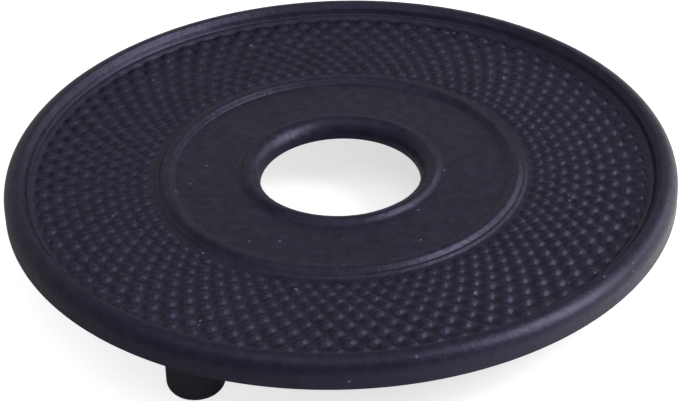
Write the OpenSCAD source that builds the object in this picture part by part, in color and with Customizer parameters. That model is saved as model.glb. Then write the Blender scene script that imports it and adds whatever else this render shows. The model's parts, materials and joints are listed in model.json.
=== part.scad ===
// Round cast-iron trivet with a hobnail field, standing on three rubber-capped pegs.
// The origin is on the table plane, under the centre of the hole. +Z is up and -Y is the front.

/* [Plate] */
// Outside diameter of the plate
plate_d = 150; // [136:1:180]
// Thickness of the plate under the hobnails
field_t = 2.5; // [2.4:0.1:3.2]
// Thickness of the plain band between the ridge and the lip
band_t = 3.4; // [3:0.1:3.6]
// Rounding of the plate's lower outside edge
lower_edge_r = 0.4; // [0.2:0.1:0.8]

/* [Rim] */
// Height of the rim's crest above the underside
rim_h = 6.6; // [5.8:0.1:8]
// Rounding of the rim's outside shoulder
rim_shoulder_r = 3.7; // [2:0.1:4.5]
// Width of the rim from the outside wall to its inner wall
rim_w = 4.6; // [4:0.1:6]
// Rounding of the rim's inner edge
rim_inner_r = 0.9; // [0.4:0.1:1.2]
// Height of the ledge inside the rim above the underside
ledge_h = 4.5; // [3.5:0.1:5]
// Width of the ledge
ledge_w = 1.7; // [1.2:0.1:2.5]
// Rounding of the ledge's inner edge
ledge_edge_r = 0.7; // [0.3:0.1:0.9]

/* [Hobnails] */
// Number of rings of hobnails
nail_rings = 9; // [5:1:9]
// Number of hobnails in one ring
nails_per_ring = 82; // [60:2:84]
// Way from the bead's outer wall to the middle of the innermost hobnails
nail_bead_gap = 2.2; // [1.8:0.1:3]
// Way from the ledge's inner wall to the middle of the outermost hobnails
nail_ledge_gap = 2.1; // [2:0.1:4]
// How much wider each gap between rings is than the one inside it
nail_gap_growth = 1.036; // [1.01:0.002:1.06]
// Radius of a hobnail on the field, as a share of half the way to its nearest neighbour
nail_fill_share = 0.84; // [0.6:0.02:0.9]
// Rise of a hobnail, as a share of its radius on the field
nail_rise_share = 0.74; // [0.72:0.01:0.95]

/* [Ridge and bead] */
// Radius of the ridge's crest
ridge_crest_r = 39; // [38.6:0.1:39.2]
// Rounding of the ridge
ridge_round_r = 2.4; // [2:0.1:2.6]
// Height of the ridge above the underside
ridge_h = 4.5; // [4.2:0.1:5]
// Radius of the middle of the bead outside the ridge
bead_mid_r = 41.5; // [41.3:0.1:41.6]
// Half the width of the bead, and its rounding
bead_round_r = 0.6; // [0.4:0.1:0.7]
// Height of the bead above the underside
bead_h = 3.7; // [3.5:0.1:4]

/* [Hole and lip] */
// Diameter of the centre hole
hole_d = 36; // [30:0.5:40]
// Height of the lip round the hole above the underside
lip_h = 4.8; // [4.6:0.1:5.4]
// Rounding of the lip into the hole
lip_round_r = 4; // [3.4:0.1:4.2]
// Angle through which that rounding turns before the crest
lip_turn_a = 75; // [60:1:78]
// Rounding of the lip's crest
lip_outer_r = 0.8; // [0.6:0.1:1.2]
// Slope of the lip's outer side down to the plain band
lip_slope_a = 45; // [35:1:60]
// Rounding of the hole's lower edge
hole_edge_r = 0.3; // [0.2:0.1:0.4]

/* [Feet] */
// Clear height under the plate
stand_h = 13.4; // [12:0.1:18]
// Way from the plate's outside wall to the middle of a foot
foot_inset = 11.5; // [11:0.5:20]
// Compass angle of the front left foot, counted anticlockwise from +X
first_foot_a = 240; // [210:1:270]
// Diameter of a peg
peg_d = 8; // [6:0.1:9]
// Diameter of a boss where it leaves the plate
boss_d = 14.4; // [13:0.1:16]
// Outside diameter of a rubber cap
cap_d = 12.4; // [11:0.1:13]
// Height of a rubber cap
cap_h = 9; // [6:0.1:10]
// Thickness of a rubber cap under its peg
cap_floor_t = 2.6; // [2:0.1:3]
// Rounding of a cap's lower edge
cap_lower_r = 2.4; // [1:0.1:3]
// Rounding of a cap's upper edge
cap_upper_r = 0.5; // [0.2:0.1:0.9]
// Gap all round between a peg and the bore of its cap
cap_fit = 0.05; // [0.02:0.01:0.1]
// Gap between a cap's upper end and the boss above it
cap_shoulder_gap = 0.3; // [0.2:0.05:0.5]

/* [Hidden] */
$fn = 96;
overrun = 1;
foot_count = 3;
plate_r = plate_d / 2;
hole_r = hole_d / 2;
rim_inner_wall_r = plate_r - rim_w;
ledge_inner_wall_r = rim_inner_wall_r - ledge_w;
foot_circle_r = plate_r - foot_inset;
bead_outer_wall_r = bead_mid_r + bead_round_r;
lip_inset = lip_round_r - lip_outer_r;
lip_crest_r = hole_r + lip_round_r - lip_inset * cos(lip_turn_a);
lip_turn_r = lip_crest_r - lip_outer_r * cos(lip_turn_a);
lip_turn_h = lip_h - lip_outer_r * (1 - sin(lip_turn_a));
hole_wall_h = lip_h - lip_outer_r - lip_inset * sin(lip_turn_a);
lip_slope_top_r = lip_crest_r + lip_outer_r * sin(lip_slope_a);
lip_slope_top_h = lip_h - lip_outer_r * (1 - cos(lip_slope_a));
lip_foot_r = lip_slope_top_r + (lip_slope_top_h - band_t) / tan(lip_slope_a);
nail_first_r = bead_outer_wall_r + nail_bead_gap;
nail_last_r = ledge_inner_wall_r - nail_ledge_gap;
nail_steps = nail_rings - 1;
nail_facets = 24;

// Radius of ring i, the gaps between rings growing by one ratio
function ring_share(i) = (pow(nail_gap_growth, i) - 1) / (pow(nail_gap_growth, nail_steps) - 1);
function ring_r(i) = nail_first_r + (nail_last_r - nail_first_r) * ring_share(i);

// Way from a hobnail to its nearest neighbour, which is half a pitch along and one ring out
function half_pitch(i) = PI * ring_r(i) / nails_per_ring;
function gap_out(i) = i < nail_steps ? ring_r(i + 1) - ring_r(i) : ring_r(i) - ring_r(i - 1);
function neighbour(i) = norm([half_pitch(i), gap_out(i)]);

// A hobnail is the cap of a ball that the field cuts at nail_r
function nail_r(i) = nail_fill_share * neighbour(i) / 2;
function nail_h(i) = nail_rise_share * nail_r(i);
function ball_r(i) = (pow(nail_r(i), 2) + pow(nail_h(i), 2)) / (2 * nail_h(i));

// A block of the plate's section, from radius r0 to r1 and from height z0 to z1
module block(r0, r1, z0, z1) {
    translate([r0, z0]) square([r1 - r0, z1 - z0]);
}

module disc(r, z, round_r) {
    translate([r, z]) circle(r = round_r);
}

module field_section() {
    block(ridge_crest_r, ledge_inner_wall_r + ledge_edge_r, 0, field_t);
    block(lip_crest_r, ridge_crest_r, 0, band_t);
}

module rim_section() {
    block(rim_inner_wall_r, plate_r, lower_edge_r, rim_h - rim_shoulder_r);
    block(rim_inner_wall_r, plate_r - lower_edge_r, 0, rim_h - rim_shoulder_r);
    disc(plate_r - lower_edge_r, lower_edge_r, lower_edge_r);
    intersection() {
        disc(plate_r - rim_shoulder_r, rim_h - rim_shoulder_r, rim_shoulder_r);
        block(rim_inner_wall_r + rim_inner_r, plate_r, 0, rim_h);
    }
    block(rim_inner_wall_r, rim_inner_wall_r + rim_inner_r, 0, rim_h - rim_inner_r);
    disc(rim_inner_wall_r + rim_inner_r, rim_h - rim_inner_r, rim_inner_r);
}

module ledge_section() {
    block(ledge_inner_wall_r, rim_inner_wall_r, 0, ledge_h - ledge_edge_r);
    block(ledge_inner_wall_r + ledge_edge_r, rim_inner_wall_r, 0, ledge_h);
    disc(ledge_inner_wall_r + ledge_edge_r, ledge_h - ledge_edge_r, ledge_edge_r);
}

module ridge_section() {
    intersection() {
        disc(ridge_crest_r, ridge_h - ridge_round_r, ridge_round_r);
        block(ridge_crest_r - ridge_round_r, ridge_crest_r + ridge_round_r, 0, ridge_h);
    }
    block(ridge_crest_r, bead_outer_wall_r, 0, bead_h - bead_round_r);
    disc(bead_mid_r, bead_h - bead_round_r, bead_round_r);
}

module lip_section() {
    block(hole_r, lip_crest_r, hole_edge_r, hole_wall_h);
    block(hole_r + hole_edge_r, lip_crest_r, 0, hole_wall_h);
    disc(hole_r + hole_edge_r, hole_edge_r, hole_edge_r);
    intersection() {
        disc(hole_r + lip_round_r, hole_wall_h, lip_round_r);
        block(hole_r, lip_turn_r, 0, lip_h);
    }
    disc(lip_crest_r, lip_h - lip_outer_r, lip_outer_r);
    polygon([
        [lip_turn_r, 0],
        [lip_foot_r, 0],
        [lip_foot_r, band_t],
        [lip_slope_top_r, lip_slope_top_h],
        [lip_turn_r, lip_turn_h]
    ]);
}

module hobnail(i) {
    translate([ring_r(i), 0, field_t + nail_h(i) - ball_r(i)]) sphere(r = ball_r(i), $fn = nail_facets);
}

module hobnails() {
    for (i = [0:nail_steps]) {
        for (j = [0:nails_per_ring - 1]) {
            a = 360 * (j + (i % 2) / 2) / nails_per_ring;
            rotate([0, 0, a]) hobnail(i);
        }
    }
}

// One boss and its peg, hanging from the underside at height zero
module peg() {
    boss_h = stand_h - cap_h - cap_shoulder_gap;
    translate([0, 0, -boss_h]) cylinder(d1 = cap_d, d2 = boss_d, h = boss_h);
    translate([0, 0, cap_floor_t - stand_h]) cylinder(d = peg_d, h = stand_h - cap_floor_t);
}

// Places its children at foot k, counted from the front left one
module at_foot(k) {
    rotate([0, 0, first_foot_a + 360 * k / foot_count]) translate([foot_circle_r, 0, 0]) children();
}

module trivet_plate() {
    color("#2b2a38") translate([0, 0, stand_h]) union() {
        rotate_extrude() {
            field_section();
            rim_section();
            ledge_section();
            ridge_section();
            lip_section();
        }
        hobnails();
        for (k = [0:foot_count - 1]) at_foot(k) peg();
    }
}

module cap_section() {
    intersection() {
        union() {
            block(0, cap_d / 2, cap_lower_r, cap_h - cap_upper_r);
            block(0, cap_d / 2 - cap_upper_r, cap_lower_r, cap_h);
            block(0, cap_d / 2 - cap_lower_r, 0, cap_h);
            disc(cap_d / 2 - cap_lower_r, cap_lower_r, cap_lower_r);
            disc(cap_d / 2 - cap_upper_r, cap_h - cap_upper_r, cap_upper_r);
        }
        block(0, cap_d / 2, 0, cap_h);
    }
}

module foot_cap(k) {
    bore_r = peg_d / 2 + cap_fit;
    color("#15141a") at_foot(k) difference() {
        rotate_extrude() cap_section();
        translate([0, 0, cap_floor_t]) cylinder(r = bore_r, h = cap_h - cap_floor_t + overrun);
    }
}

trivet_plate();
foot_cap(0);  // foot_cap_front_left
foot_cap(1);  // foot_cap_right
foot_cap(2);  // foot_cap_back_left
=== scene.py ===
import json
import math

import bpy
import numpy as np
from mathutils import Matrix, Vector, noise


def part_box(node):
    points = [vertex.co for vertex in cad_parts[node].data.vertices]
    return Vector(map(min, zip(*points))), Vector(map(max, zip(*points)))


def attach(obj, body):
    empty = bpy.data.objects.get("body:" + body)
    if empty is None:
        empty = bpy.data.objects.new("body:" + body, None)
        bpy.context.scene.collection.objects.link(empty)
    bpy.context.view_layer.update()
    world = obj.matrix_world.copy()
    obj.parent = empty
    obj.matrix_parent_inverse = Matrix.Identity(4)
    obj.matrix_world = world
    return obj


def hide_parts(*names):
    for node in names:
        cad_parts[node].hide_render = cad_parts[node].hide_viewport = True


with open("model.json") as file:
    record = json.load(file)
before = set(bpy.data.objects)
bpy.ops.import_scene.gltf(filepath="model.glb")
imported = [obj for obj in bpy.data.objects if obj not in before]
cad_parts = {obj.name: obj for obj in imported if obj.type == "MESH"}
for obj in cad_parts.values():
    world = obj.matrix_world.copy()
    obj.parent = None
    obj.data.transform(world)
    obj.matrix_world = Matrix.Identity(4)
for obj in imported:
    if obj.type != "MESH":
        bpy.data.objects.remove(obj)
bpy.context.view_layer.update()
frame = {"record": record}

# Everything below is in metres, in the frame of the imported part
MM = 0.001
FEET = ["front_left", "right", "back_left"]
ROOT = "root"

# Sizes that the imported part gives
plate_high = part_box("trivet_plate")[1]
cap_low, cap_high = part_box("foot_cap_right")
PLATE_R = plate_high.x
PLATE_TOP = plate_high.z
CAP_R = (cap_high.y - cap_low.y) / 2
CAP_H = cap_high.z
HOLE_R = next(m["dims"]["r_mm"] for m in frame["record"]["mounts"] if m["name"] == "centre_hole") * MM

# Heights of the plate's section, above its underside. _T is the iron's thickness there.
RIM_H = 6.6 * MM
RIM_WALL_H = 5.45 * MM
LEDGE_FOOT_H = 3.2 * MM
LEDGE_H = 3.95 * MM
LEDGE_BACK_H = 4.12 * MM
FIELD_T = 2.9 * MM
BAND_T = 3.4 * MM
LIP_BEND_H = 3.9 * MM
LIP_CREST_H = 4.72 * MM
RING_STEP_H0 = 3.71 * MM
RING_STEP_H1 = 4.04 * MM
RING_H = 4.5 * MM
GROOVE_H = 3.56 * MM
BEAD_H = 3.56 * MM
BEAD_FOOT_H = 3.05 * MM
UPPER_SIDE_H = FIELD_T / 2
UNDERSIDE = PLATE_TOP - RIM_H

# Radii of the plate's steps, from the hole outwards
LIP_CREST_R = 21.3 * MM
LIP_FOOT_R = 22.85 * MM
RING_FOOT_R = 36.98 * MM
RING_STEP_R0 = 37.35 * MM
RING_STEP_R1 = 37.85 * MM
RING_FLAT_R0 = 38.45 * MM
RING_FLAT_R1 = 39.85 * MM
GROOVE_R = 40.9 * MM
BEAD_R = 41.2 * MM
BEAD_FOOT_R = 41.95 * MM
FIELD_R0 = 43.0 * MM
FIELD_R1 = PLATE_R - 9.0 * MM
LEDGE_FOOT_R = PLATE_R - 6.9 * MM
LEDGE_R = PLATE_R - 5.95 * MM
LEDGE_BACK_R = PLATE_R - 5.4 * MM
RIM_WALL_R = PLATE_R - 4.8 * MM
RIM_EDGE_R = PLATE_R - 3.7 * MM

# Roundings of the plate's corners
HOLE_EDGE_ROUND = 0.3 * MM
LIP_ROUND = 4.0 * MM
LIP_CREST_ROUND = 1.3 * MM
FOOT_ROUND = 1.8 * MM
SOFT_ROUND = 0.35 * MM
RING_ROUND = 1.0 * MM
GROOVE_ROUND = 0.5 * MM
LEDGE_ROUND = 0.8 * MM
RIM_INNER_ROUND = 0.6 * MM
RIM_SHOULDER_ROUND = 3.7 * MM
LOWER_EDGE_ROUND = 0.15 * MM

# Hobnails. Their radius and rise are shares of the distance to the next one in the neighbouring ring.
NAIL_RINGS = 9
NAILS_PER_RING = 82
NAIL_FIRST_R = 44.3 * MM
NAIL_LAST_R = 66.6 * MM
NAIL_GAP_GROWTH = 1.036
NAIL_RADIUS_SHARE = 0.45
NAIL_RISE_SHARE = 0.275
NAIL_FILLET = 0.35 * MM
SAMPLES_PER_NAIL = 12

# Boss, peg and rubber cap of a foot
BOSS_TOP_R = 7.2 * MM
BOSS_BASE_R = 6.2 * MM
BOSS_FILLET = 1.1 * MM
BOSS_SUNK = 0.04 * MM
BOSS_SEAT_R = BOSS_TOP_R + 1.6 * MM
BOSS_SEAT_H = UNDERSIDE + BOSS_SUNK
BOSS_END_H = UNDERSIDE + 5 * BOSS_SUNK
CAP_SHOULDER_GAP = 0.3 * MM
PEG_R = 4.0 * MM
CAP_FLOOR = 2.6 * MM
CAP_BORE_R = PEG_R + 0.05 * MM
CAP_LOWER_ROUND = 2.4 * MM
CAP_UPPER_ROUND = 0.5 * MM
DIMPLE_R = 1.2 * MM
DIMPLE_DEPTH = 0.2 * MM
DIMPLE_EDGE_ROUND = 0.1 * MM
EDGE_ROUND = 0.2 * MM
FOOT_STEP = 0.5 * MM

# Mesh steps, and the length that counts as none
PROFILE_STEP = 0.3 * MM
UNDERSIDE_STEP = 3.0 * MM
FOOT_SIDES = 96
ARC_STEP = math.radians(12)
TINY = 1e-7

# Sand-cast unevenness of the iron
CAST_SWELL = 0.05 * MM
CAST_SWELL_WAVE = 9.0 * MM
CAST_GRAIN = 0.036 * MM
CAST_GRAIN_WAVE = 1.3 * MM


def rounded(corners, step):
    """Points of a line through (r, z, rounding) corners, each corner an arc, no step longer than step."""
    spots = [np.array(corner[:2]) for corner in corners]
    lengths = [float(np.linalg.norm(b - a)) for a, b in zip(spots, spots[1:])]
    ways = [(b - a) / length for a, b, length in zip(spots, spots[1:], lengths)]
    halves = [math.acos(max(-1.0, min(1.0, float(-a @ b)))) / 2 for a, b in zip(ways, ways[1:])]
    reaches = [0.0] + [c[2] / math.tan(h) for c, h in zip(corners[1:], halves)] + [0.0]
    shares = [min(1.0, length / max(a + b, TINY)) for a, b, length in zip(reaches, reaches[1:], lengths)]
    flat = [spots[0]]
    for i, half in enumerate(halves, start=1):
        reach = reaches[i] * min(shares[i - 1], shares[i])
        radius = reach * math.tan(half)
        if radius < TINY:
            flat.append(spots[i])
            continue
        bisector = ways[i] - ways[i - 1]
        centre = spots[i] + bisector / np.linalg.norm(bisector) * radius / math.sin(half)
        start, end = spots[i] - ways[i - 1] * reach - centre, spots[i] + ways[i] * reach - centre
        side = math.copysign(1.0, start[0] * end[1] - start[1] * end[0])
        turn = math.pi - 2 * half
        pieces = max(2, math.ceil(turn / ARC_STEP), math.ceil(turn * radius / step))
        for k in range(pieces + 1):
            c, s = math.cos(turn * k / pieces), side * math.sin(turn * k / pieces)
            flat.append(centre + np.array([start[0] * c - start[1] * s, start[0] * s + start[1] * c]))
    flat.append(spots[-1])
    line = []
    for a, b in zip(flat, flat[1:]):
        length = np.linalg.norm(b - a)
        pieces = math.ceil(length / step)
        line.extend(a + (b - a) * k / pieces for k in range(pieces) if length > TINY)
    return np.array(line + [flat[-1]])


def plate_line():
    """The plate's closed section, from the hole's lower edge up, outwards and back along the underside."""
    top = rounded([
        (HOLE_R, 0.0, 0.0),
        (HOLE_R, LIP_BEND_H, LIP_ROUND),
        (LIP_CREST_R, LIP_CREST_H, LIP_CREST_ROUND),
        (LIP_FOOT_R, BAND_T, FOOT_ROUND),
        (RING_FOOT_R, BAND_T, SOFT_ROUND),
        (RING_STEP_R0, RING_STEP_H0, SOFT_ROUND),
        (RING_STEP_R1, RING_STEP_H1, SOFT_ROUND),
        (RING_FLAT_R0, RING_H, RING_ROUND),
        (RING_FLAT_R1, RING_H, RING_ROUND),
        (GROOVE_R, GROOVE_H, GROOVE_ROUND),
        (BEAD_R, BEAD_H, SOFT_ROUND),
        (BEAD_FOOT_R, BEAD_FOOT_H, SOFT_ROUND),
        (FIELD_R0, FIELD_T, SOFT_ROUND),
        (FIELD_R1, FIELD_T, SOFT_ROUND),
        (LEDGE_FOOT_R, LEDGE_FOOT_H, SOFT_ROUND),
        (LEDGE_R, LEDGE_H, LEDGE_ROUND),
        (LEDGE_BACK_R, LEDGE_BACK_H, LEDGE_ROUND),
        (RIM_WALL_R, RIM_WALL_H, LEDGE_ROUND),
        (RIM_EDGE_R, RIM_H, RIM_INNER_ROUND),
        (PLATE_R, RIM_H, RIM_SHOULDER_ROUND),
        (PLATE_R, 0.0, 0.0),
    ], PROFILE_STEP)
    top = top[(top[:, 1] > HOLE_EDGE_ROUND) | (top[:, 0] > PLATE_R / 2)]
    top = top[(top[:, 1] > LOWER_EDGE_ROUND) | (top[:, 0] < PLATE_R / 2)]
    under = rounded([
        (PLATE_R, 2 * LOWER_EDGE_ROUND, 0.0),
        (PLATE_R, 0.0, LOWER_EDGE_ROUND),
        (HOLE_R, 0.0, HOLE_EDGE_ROUND),
        (HOLE_R, 2 * HOLE_EDGE_ROUND, 0.0),
    ], UNDERSIDE_STEP)[1:-1]
    return np.vstack([top, under])


def ring_radii():
    """Radii of the rings of hobnails, whose gaps grow by one ratio outwards."""
    steps = NAIL_RINGS - 1
    full = NAIL_GAP_GROWTH ** steps - 1
    return [NAIL_FIRST_R + (NAIL_LAST_R - NAIL_FIRST_R) * (NAIL_GAP_GROWTH ** i - 1) / full
            for i in range(NAIL_RINGS)]


def hobnail_rise(r, angle, ground):
    """How far the hobnails rise above the ground at radius r and an angle, for arrays of one shape."""
    radii = ring_radii()
    pitch = 2 * math.pi / NAILS_PER_RING
    rise = np.zeros_like(r)
    for i, ring_r in enumerate(radii):
        gap = radii[i + 1] - ring_r if i + 1 < len(radii) else ring_r - radii[i - 1]
        spacing = math.hypot(math.pi * ring_r / NAILS_PER_RING, gap)
        off = (angle - (i % 2) * pitch / 2 + pitch / 2) % pitch - pitch / 2
        near = np.hypot(r - ring_r, ring_r * off) / (NAIL_RADIUS_SHARE * spacing)
        dome = NAIL_RISE_SHARE * spacing * (1 - near ** 2) + FIELD_T - ground
        rise += (dome + np.hypot(dome, NAIL_FILLET)) / 2
    return rise


def cast_unevenness(x, y, z):
    """How far the sand mould pushed each point of the skin in or out."""
    swell = np.array([noise.noise(p) for p in np.stack([x, y, z], 1) / CAST_SWELL_WAVE])
    grain = np.array([noise.noise(p) for p in np.stack([x, y, z], 1) / CAST_GRAIN_WAVE])
    return CAST_SWELL * swell + CAST_GRAIN * grain


def add_mesh(name, verts, faces, material):
    """A smooth piece that rides on the part's one body."""
    mesh = bpy.data.meshes.new(name)
    mesh.from_pydata(verts.tolist(), [], faces)
    mesh.validate()
    mesh.polygons.foreach_set("use_smooth", [True] * len(mesh.polygons))
    mesh.materials.append(material)
    piece = bpy.data.objects.new(name, mesh)
    bpy.context.scene.collection.objects.link(piece)
    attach(piece, ROOT)
    return piece


def make_plate(material):
    """The casting without its bosses: the section turned round, with hobnails and unevenness."""
    line = plate_line()
    rows, sides = len(line), NAILS_PER_RING * SAMPLES_PER_NAIL
    ahead, behind = np.roll(line, -1, 0), np.roll(line, 1, 0)
    along = ahead - behind
    normal = np.stack([-along[:, 1], along[:, 0]], 1) / np.linalg.norm(along, axis=1)[:, None]
    angle = np.tile(np.arange(sides) * 2 * math.pi / sides, rows)
    r, z = np.repeat(line[:, 0], sides), np.repeat(line[:, 1], sides)
    on_field = (r > BEAD_R) & (r < LEDGE_BACK_R) & (z > UPPER_SIDE_H)
    z = z + np.where(on_field, hobnail_rise(r, angle, z), 0.0)
    push = cast_unevenness(r * np.cos(angle), r * np.sin(angle), z)
    inside = np.minimum(1.0, (PLATE_R - r) / RIM_SHOULDER_ROUND)
    push = np.where(z > UPPER_SIDE_H, push, 0.0) * inside
    r = r + push * np.repeat(normal[:, 0], sides)
    z = z + push * np.repeat(normal[:, 1], sides)
    verts = np.stack([r * np.cos(angle), r * np.sin(angle), z + UNDERSIDE], 1)
    verts[:, 2] = np.minimum(verts[:, 2], PLATE_TOP)
    faces = []
    for i in range(rows):
        a, b = i * sides, (i + 1) % rows * sides
        for j in range(sides):
            k = (j + 1) % sides
            faces.append((a + j, b + j, b + k, a + k))
    piece = add_mesh("plate_casting", verts, faces, material)
    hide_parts("trivet_plate")
    return piece


def turned(line, sides, x, y):
    """Vertices and faces of a line of (r, z) turned round the upright through x, y, its ends on the axis."""
    verts = [(x, y, line[0][1])]
    for r, z in line[1:-1]:
        for j in range(sides):
            a = 2 * math.pi * j / sides
            verts.append((x + r * math.cos(a), y + r * math.sin(a), z))
    verts.append((x, y, line[-1][1]))
    rows, last, faces = len(line) - 2, len(verts) - 1, []
    for j in range(sides):
        k = (j + 1) % sides
        faces.append((0, 1 + k, 1 + j))
        faces.append((last, last - sides + j, last - sides + k))
        for i in range(rows - 1):
            a, b = 1 + i * sides, 1 + (i + 1) * sides
            faces.append((a + j, a + k, b + k, b + j))
    return np.array(verts), faces


def make_foot(place, paint, rubber):
    """A cast boss with its peg, and the rubber cap on the peg."""
    low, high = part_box("foot_cap_" + place)
    x, y = (low.x + high.x) / 2, (low.y + high.y) / 2
    boss_low = CAP_H + CAP_SHOULDER_GAP
    boss = rounded([
        (0.0, CAP_FLOOR, 0.0),
        (PEG_R, CAP_FLOOR, EDGE_ROUND),
        (PEG_R, boss_low, EDGE_ROUND),
        (BOSS_BASE_R, boss_low, EDGE_ROUND),
        (BOSS_TOP_R, BOSS_SEAT_H, BOSS_FILLET),
        (BOSS_SEAT_R, BOSS_SEAT_H, 0.0),
        (BOSS_SEAT_R, BOSS_END_H, 0.0),
        (0.0, BOSS_END_H, 0.0),
    ], FOOT_STEP)
    verts, faces = turned(boss, FOOT_SIDES, x, y)
    casting = add_mesh("boss_" + place, verts, faces, paint)
    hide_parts("trivet_plate")
    cap = rounded([
        (0.0, DIMPLE_DEPTH, 0.0),
        (DIMPLE_R, DIMPLE_DEPTH, EDGE_ROUND),
        (DIMPLE_R + DIMPLE_DEPTH, 0.0, DIMPLE_EDGE_ROUND),
        (CAP_R, 0.0, CAP_LOWER_ROUND),
        (CAP_R, CAP_H, CAP_UPPER_ROUND),
        (CAP_BORE_R, CAP_H, EDGE_ROUND),
        (CAP_BORE_R, CAP_FLOOR, EDGE_ROUND),
        (0.0, CAP_FLOOR, 0.0),
    ], FOOT_STEP)
    verts, faces = turned(cap, FOOT_SIDES, x, y)
    piece = add_mesh("cap_" + place, verts, faces, rubber)
    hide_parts("foot_cap_" + place)


class Nodes:
    """A short way to build a node tree. An input may be a value or another node's output."""

    def __init__(self, tree):
        self.tree = tree
        tree.nodes.clear()

    def add(self, kind, inputs=None, **settings):
        node = self.tree.nodes.new(kind)
        for key, value in settings.items():
            setattr(node, key, value)
        for key, value in (inputs or {}).items():
            if isinstance(value, bpy.types.NodeSocket):
                self.tree.links.new(value, node.inputs[key])
            else:
                node.inputs[key].default_value = value
        return node

    def math(self, operation, *values):
        return self.add("ShaderNodeMath", dict(enumerate(values)), operation=operation).outputs[0]

    def mapped(self, value, source, target, **settings):
        """The value, moved from the source range to the target range and kept inside it."""
        return self.add("ShaderNodeMapRange", {"Value": value, "From Min": source[0], "From Max": source[1],
                                               "To Min": target[0], "To Max": target[1]}, **settings).outputs[0]

    def ramp(self, value, stops):
        node = self.add("ShaderNodeValToRGB", {"Fac": value})
        for element, (position, colour) in zip(node.color_ramp.elements, stops):
            element.position, element.color = position, colour
        return node.outputs["Color"]

    def seen(self):
        """1 for what the camera sees, also through glass, and 0 for light and reflections."""
        path = self.add("ShaderNodeLightPath").outputs
        return self.math("MAXIMUM", path["Is Camera Ray"], path["Is Transmission Ray"])


def new_material(name):
    material = bpy.data.materials.new(name)
    material.use_nodes = True
    return material, Nodes(material.node_tree)


# Iron paint. Scales count cells per metre, and the middle of the noises lies between the ends of NOISE_SPAN.
WHITE = (1.0, 1.0, 1.0, 1.0)
NOISE_SPAN = (0.3, 0.7)
MOTTLE_SCALE = 400.0
SAND_SCALE = 1100.0
PIT_SCALE = 620.0
PIT_REACH = 0.35
DUST_SCALE = 300.0
DUST_REACH = 0.1
DUST_CHANCE = 0.12
PAINT_TONES = ((0.35, (0.0020, 0.0015, 0.0062, 1.0)), (0.68, (0.0086, 0.0076, 0.0186, 1.0)))
DUST_COLOUR = (0.07, 0.065, 0.10, 1.0)
PAINT_ROUGHNESS = (0.34, 0.46)
PAINT_SPECULAR = 0.4
PAINT_TINT = (0.70, 0.65, 1.0, 1.0)
SAND_BUMP = {"Strength": 0.8, "Distance": 0.12 * MM}
PIT_BUMP = {"Strength": 0.25, "Distance": 0.05 * MM}


def iron_paint():
    """Satin blue-black paint over a fine sand-cast skin, with rare pale specks of dust."""
    material, n = new_material("iron_paint")
    place = n.add("ShaderNodeTexCoord").outputs["Object"]
    mottle = n.add("ShaderNodeTexNoise", {"Vector": place, "Scale": MOTTLE_SCALE, "Detail": 4.0,
                                          "Roughness": 0.6}).outputs["Fac"]
    sand = n.add("ShaderNodeTexNoise", {"Vector": place, "Scale": SAND_SCALE, "Detail": 4.0,
                                        "Roughness": 0.62}).outputs["Fac"]
    pits = n.add("ShaderNodeTexVoronoi", {"Vector": place, "Scale": PIT_SCALE}).outputs["Distance"]
    pit = n.mapped(pits, (0.0, PIT_REACH), (0.0, 1.0))
    sandy = n.add("ShaderNodeBump", {"Height": sand, **SAND_BUMP}).outputs["Normal"]
    pitted = n.add("ShaderNodeBump", {"Height": pit, "Normal": sandy, **PIT_BUMP}).outputs["Normal"]
    dust = n.add("ShaderNodeTexVoronoi", {"Vector": place, "Scale": DUST_SCALE}).outputs
    close = n.math("LESS_THAN", dust["Distance"], DUST_REACH)
    chance = n.add("ShaderNodeSeparateColor", {"Color": dust["Color"]}).outputs["Red"]
    speck = n.math("MULTIPLY", close, n.math("GREATER_THAN", chance, 1 - DUST_CHANCE))
    paint = n.add("ShaderNodeMixRGB", {"Fac": speck, "Color1": n.ramp(mottle, PAINT_TONES),
                                       "Color2": DUST_COLOUR}).outputs["Color"]
    shader = n.add("ShaderNodeBsdfPrincipled", {"Base Color": paint,
                                                "Roughness": n.mapped(sand, NOISE_SPAN, PAINT_ROUGHNESS),
                                                "Normal": pitted,
                                                "Specular IOR Level": PAINT_SPECULAR,
                                                "Specular Tint": PAINT_TINT})
    n.add("ShaderNodeOutputMaterial", {"Surface": shader.outputs["BSDF"]})
    return material


# Cap rubber
GRAIN_SCALE = 2600.0
FILM_SCALE = 260.0
RUBBER_TONES = ((0.35, (0.0115, 0.0108, 0.0200, 1.0)), (0.7, (0.0160, 0.0152, 0.0260, 1.0)))
RUBBER_ROUGHNESS = (0.62, 0.78)
RUBBER_SPECULAR = 0.35
GRAIN_BUMP = {"Strength": 0.3, "Distance": 0.04 * MM}


def cap_rubber():
    """Matte moulded rubber with a thin film of dust."""
    material, n = new_material("cap_rubber")
    place = n.add("ShaderNodeTexCoord").outputs["Object"]
    grain = n.add("ShaderNodeTexNoise", {"Vector": place, "Scale": GRAIN_SCALE, "Detail": 3.0}).outputs["Fac"]
    film = n.add("ShaderNodeTexNoise", {"Vector": place, "Scale": FILM_SCALE, "Detail": 3.0}).outputs["Fac"]
    bump = n.add("ShaderNodeBump", {"Height": grain, **GRAIN_BUMP}).outputs["Normal"]
    shader = n.add("ShaderNodeBsdfPrincipled", {"Base Color": n.ramp(film, RUBBER_TONES),
                                                "Roughness": n.mapped(film, NOISE_SPAN, RUBBER_ROUGHNESS),
                                                "Normal": bump,
                                                "Specular IOR Level": RUBBER_SPECULAR})
    n.add("ShaderNodeOutputMaterial", {"Surface": shader.outputs["BSDF"]})
    return material


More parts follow.
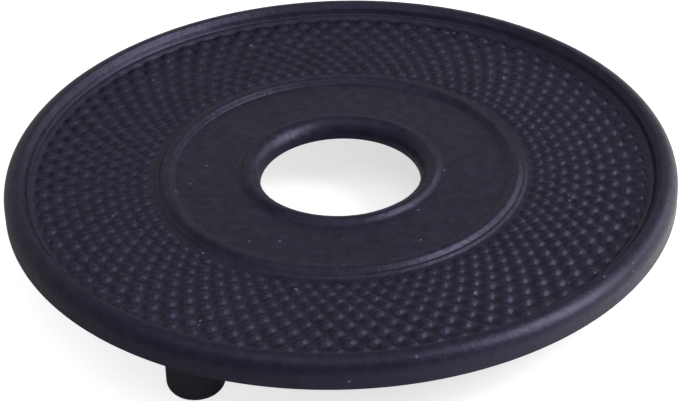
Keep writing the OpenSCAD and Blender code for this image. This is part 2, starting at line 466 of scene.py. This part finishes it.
# Camera, as fitted to the photo's outline and hobnails, with distances in plate radii
IMAGE_W, IMAGE_H = 680, 401
FOCAL_PX = 2292.4
ELEVATION = math.radians(32.65)
ROLL = math.radians(1.83)
YAW = math.radians(-0.535)
DISTANCE = 6.823 * PLATE_R
CENTRE_PX = (339.8, 157.2)
SENSOR_MM = 36.0
CLIP_START = 0.01


def make_camera():
    """Looks at the middle of the rim's crest, then turns so that it falls on its pixel."""
    place = Vector((0.0, -math.cos(ELEVATION), math.sin(ELEVATION))) * DISTANCE
    back, right = place.normalized(), Vector((1.0, 0.0, 0.0))
    up = back.cross(right)
    rolled_right = math.cos(ROLL) * right - math.sin(ROLL) * up
    rolled_up = math.sin(ROLL) * right + math.cos(ROLL) * up
    wanted = Vector(((CENTRE_PX[0] - IMAGE_W / 2) / FOCAL_PX, (IMAGE_H / 2 - CENTRE_PX[1]) / FOCAL_PX, -1.0))
    aim = Vector((0.0, 0.0, -1.0)).rotation_difference(wanted.normalized())
    axes = Matrix((rolled_right, rolled_up, back)).transposed() @ aim.to_matrix().inverted()
    turn = Matrix.Rotation(YAW, 3, "Z")
    data = bpy.data.cameras.new("camera")
    data.sensor_width = SENSOR_MM
    data.lens = FOCAL_PX * SENSOR_MM / IMAGE_W
    data.clip_start = CLIP_START
    camera = bpy.data.objects.new("camera", data)
    spot = turn @ place + Vector((0.0, 0.0, PLATE_TOP))
    camera.matrix_world = Matrix.Translation(spot) @ (turn @ axes).to_4x4()
    bpy.context.scene.collection.objects.link(camera)
    bpy.context.scene.camera = camera


def make_lamp(name, azimuth, elevation, distance, width, height, level):
    """A soft box that faces the plate. Level 1 lights a white sheet that faces it to white."""
    data = bpy.data.lights.new(name, "AREA")
    data.shape = "RECTANGLE"
    data.size, data.size_y = width, height
    data.energy = level * math.pi ** 2 * distance ** 2
    lamp = bpy.data.objects.new(name, data)
    a, e = math.radians(azimuth), math.radians(elevation)
    lamp.location = Vector((math.cos(a) * math.cos(e), math.sin(a) * math.cos(e), math.sin(e))) * distance
    lamp.rotation_mode = "QUATERNION"
    lamp.rotation_quaternion = lamp.location.to_track_quat("Z", "Y")
    bpy.context.scene.collection.objects.link(lamp)


# Floor and world. Pairs of levels are for the left and the right of the floor, which change over FLOOR_TURN.
# The floor's paper is painted darker on the left as painted shade, and its glow in reflections grows towards
# the right as a painted reflection.
FLOOR_SIZE = 1.4
FLOOR_TURN = 0.10
# Greys of the floor's paper, left and right: the darker left is painted shade, away from the key lamp.
FLOOR_PAINTED_SHADE = (0.38, 0.76)
FLOOR_LIFTS = (0.88, 0.50)
# Glow that only reflections see, from none on the left to this on the right: a painted reflection of the lit
# side.
FLOOR_PAINTED_REFLECTION = 0.3
WORLD_LEVEL = 0.45


def make_stage():
    """A floor that is white to the eye, keeps the shadow and can be seen through from below.

    Its paper is painted darker on the left, a painted shade away from the key lamp, and what reflections see of
    it glows more on the right, a painted reflection of the lit side.
    """
    bpy.ops.mesh.primitive_plane_add(size=FLOOR_SIZE)
    floor = bpy.context.object
    floor.name = "floor"
    material, n = new_material("floor")
    across = n.add("ShaderNodeSeparateXYZ", {0: n.add("ShaderNodeTexCoord").outputs["Object"]}).outputs["X"]
    side = n.mapped(across, (-FLOOR_TURN, FLOOR_TURN), (0.0, 1.0), interpolation_type="SMOOTHSTEP")
    seen_lift = n.math("MULTIPLY", n.seen(), n.mapped(side, (0.0, 1.0), FLOOR_LIFTS))
    # Reflections see the floor glow more towards the right: a painted reflection of the lit side.
    painted_reflection = n.math("MULTIPLY", n.add("ShaderNodeLightPath").outputs["Is Glossy Ray"], side)
    level = n.math("MULTIPLY_ADD", painted_reflection, FLOOR_PAINTED_REFLECTION, seen_lift)
    # The paper's grey runs from dark on the left to light on the right: painted shade away from the key lamp.
    paper = n.add("ShaderNodeBsdfDiffuse", {"Color": n.mapped(side, (0.0, 1.0), FLOOR_PAINTED_SHADE)})
    glow = n.add("ShaderNodeEmission", {"Color": WHITE, "Strength": level})
    shown = n.add("ShaderNodeAddShader", {0: paper.outputs[0], 1: glow.outputs[0]})
    under = n.add("ShaderNodeNewGeometry").outputs["Backfacing"]
    clear = n.add("ShaderNodeBsdfTransparent")
    surface = n.add("ShaderNodeMixShader", {0: under, 1: shown.outputs[0], 2: clear.outputs[0]})
    n.add("ShaderNodeOutputMaterial", {"Surface": surface.outputs[0]})
    floor.data.materials.append(material)


def make_world():
    """Dim soft light from all round, white to the eye as the floor is, so that no horizon shows."""
    world = bpy.data.worlds.new("world")
    bpy.context.scene.world = world
    world.use_nodes = True
    n = Nodes(world.node_tree)
    level = n.mapped(n.seen(), (0.0, 1.0), (WORLD_LEVEL, 1.0))
    light = n.add("ShaderNodeBackground", {"Color": WHITE, "Strength": level})
    n.add("ShaderNodeOutputWorld", {"Surface": light.outputs[0]})


make_camera()
make_stage()
make_world()
make_lamp("key", azimuth=345, elevation=36, distance=1.0, width=0.45, height=0.8, level=1.15)
make_lamp("side", azimuth=28, elevation=18, distance=1.2, width=0.6, height=0.4, level=0.13)
make_lamp("top", azimuth=235, elevation=70, distance=1.2, width=1.0, height=0.8, level=0.18)
paint = iron_paint()
rubber = cap_rubber()
make_plate(paint)
for foot in FEET:
    make_foot(foot, paint, rubber)

bpy.context.scene.view_settings.view_transform = "Standard"
